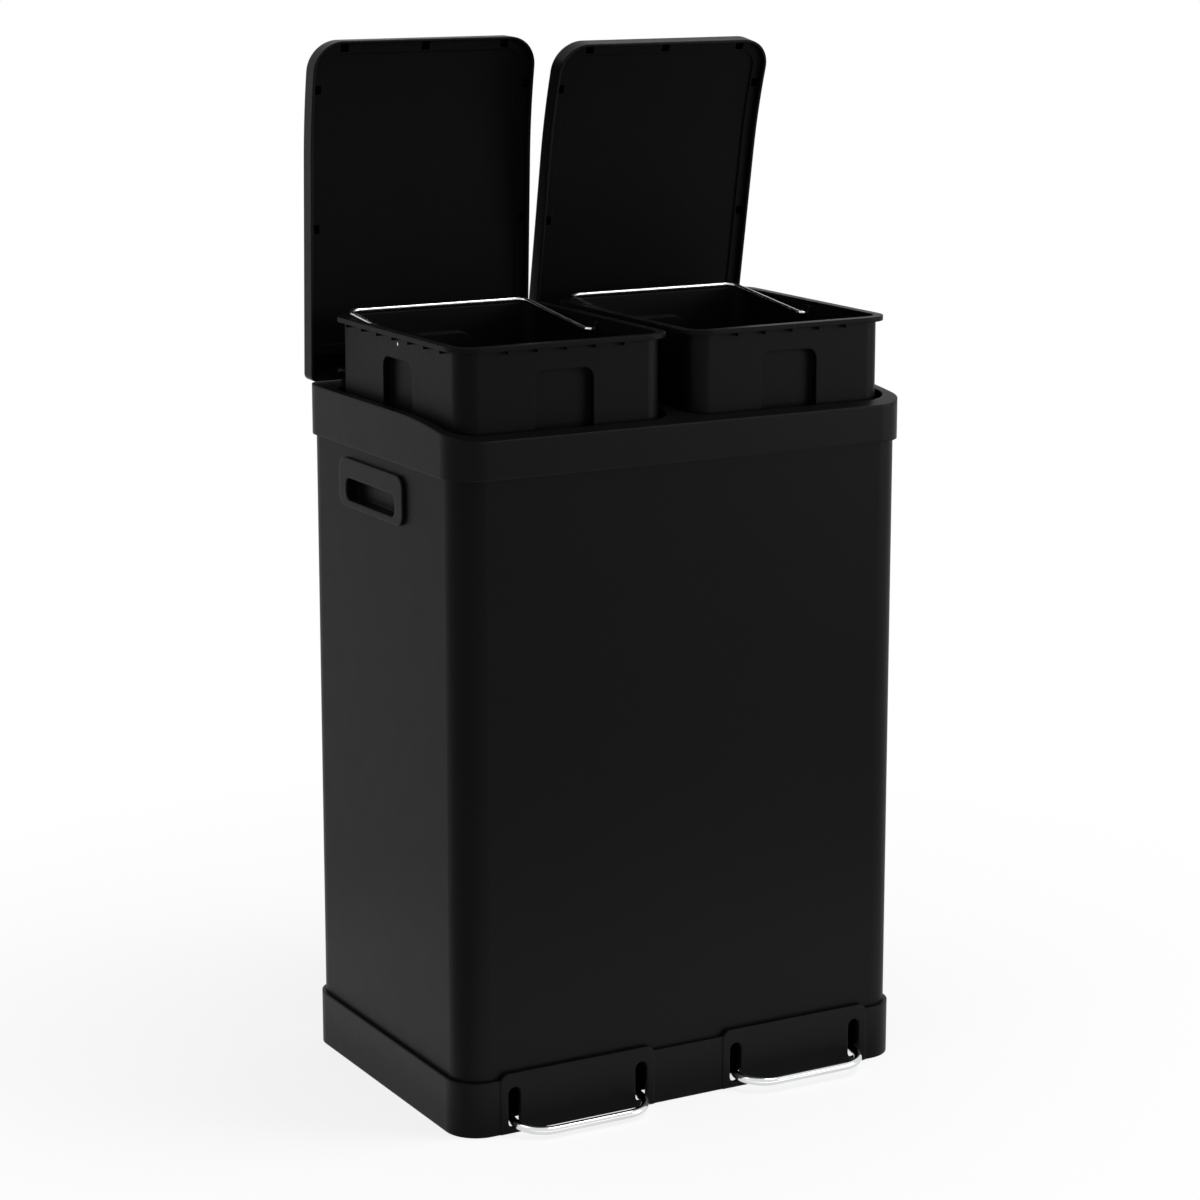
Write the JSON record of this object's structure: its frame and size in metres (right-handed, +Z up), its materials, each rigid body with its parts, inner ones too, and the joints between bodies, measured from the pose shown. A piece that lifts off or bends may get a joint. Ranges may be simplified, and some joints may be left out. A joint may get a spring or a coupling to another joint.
{
  "type": "double recycling bin",
  "caption": "Tall black steel recycling bin with pedals, hinged lids side by side and lift-out buckets with wire handles.",
  "frame": {"origin": "on the floor, under the middle of the steel body", "axes": "+X to the right, +Y to the back where the lids are hinged, +Z up"},
  "size_m": [0.488, 0.3701, 0.9988],
  "materials": {
    "black_steel": "satin",
    "black_plastic": "satin",
    "liner_plastic": "matt",
    "bucket_plastic": "matt",
    "chrome_bar": "polished",
    "steel_wire": "satin",
    "white_plastic": "matt",
    "foot_rubber": "matt"
  },
  "bodies": {
    "body": {"body_shell": "black_steel", "base": "black_plastic", "floor_feet": "foot_rubber", "top_frame": "black_plastic", "grip_left": "black_plastic", "rod_guides_left": "white_plastic", "pedal_bearings_left": "black_plastic", "pedal_axle_left": "steel_wire", "grip_right": "black_plastic", "rod_guides_right": "white_plastic", "pedal_bearings_right": "black_plastic", "pedal_axle_right": "steel_wire"},
    "lid_left": {"lid_shell_left": "black_plastic", "lid_liner_left": "liner_plastic", "hinge_pins_left": "steel_wire"},
    "pedal_left": {"pedal_bar_left": "chrome_bar", "pedal_lever_left": "black_plastic"},
    "rod_left": {"push_rod_left": "steel_wire"},
    "bin_left": {"bucket_left": "bucket_plastic"},
    "handle_left": {"bail_left": "steel_wire"},
    "lid_right": {"lid_shell_right": "black_plastic", "lid_liner_right": "liner_plastic", "hinge_pins_right": "steel_wire"},
    "pedal_right": {"pedal_bar_right": "chrome_bar", "pedal_lever_right": "black_plastic"},
    "rod_right": {"push_rod_right": "steel_wire"},
    "bin_right": {"bucket_right": "bucket_plastic"},
    "handle_right": {"bail_right": "steel_wire"}
  },
  "joints": [
    {"name": "lid_hinge_left", "type": "hinge", "parent": "body", "child": "lid_left", "pos_m": [-0.121, 0.157, 0.676], "axis": [-1, 0, 0], "range_deg": [-88, 2]},
    {"name": "pedal_pivot_left", "type": "hinge", "parent": "body", "child": "pedal_left", "pos_m": [-0.121, 0.028, 0.031], "axis": [1, 0, 0], "range_deg": [-8.74, 0.2]},
    {"name": "rod_slide_left", "type": "slide", "parent": "body", "child": "rod_left", "axis": [0, 0, 1], "range_m": [-0.01798, 0.00041]},
    {"name": "bucket_slide_left", "type": "slide", "parent": "body", "child": "bin_left", "axis": [0, 0, 1], "range_m": [-0.079, 0.0018]},
    {"name": "bail_pivot_left", "type": "hinge", "parent": "bin_left", "child": "handle_left", "pos_m": [-0.121, -0.014, 0.727], "axis": [1, 0, 0], "range_deg": [0, 166.7]},
    {"name": "lid_hinge_right", "type": "hinge", "parent": "body", "child": "lid_right", "pos_m": [0.121, 0.157, 0.676], "axis": [-1, 0, 0], "range_deg": [-80, 10]},
    {"name": "pedal_pivot_right", "type": "hinge", "parent": "body", "child": "pedal_right", "pos_m": [0.121, 0.028, 0.031], "axis": [1, 0, 0], "range_deg": [-7.94, 0.99]},
    {"name": "rod_slide_right", "type": "slide", "parent": "body", "child": "rod_right", "axis": [0, 0, 1], "range_m": [-0.01634, 0.00204]},
    {"name": "bucket_slide_right", "type": "slide", "parent": "body", "child": "bin_right", "axis": [0, 0, 1], "range_m": [-0.079, 0.00988]},
    {"name": "bail_pivot_right", "type": "hinge", "parent": "bin_right", "child": "handle_right", "pos_m": [0.121, -0.014, 0.727], "axis": [1, 0, 0], "range_deg": [0, 166.7]}
  ],
  "couplings": [
    {"joint": "pedal_pivot_left", "follows": "lid_hinge_left", "ratio": 0.099268},
    {"joint": "rod_slide_left", "follows": "lid_hinge_left", "m_per_rad": 0.011704},
    {"joint": "bucket_slide_left", "follows": "lid_hinge_left", "m_per_rad": 0.051436},
    {"joint": "pedal_pivot_right", "follows": "lid_hinge_right", "ratio": 0.099268},
    {"joint": "rod_slide_right", "follows": "lid_hinge_right", "m_per_rad": 0.011704},
    {"joint": "bucket_slide_right", "follows": "lid_hinge_right", "m_per_rad": 0.05658}
  ]
}
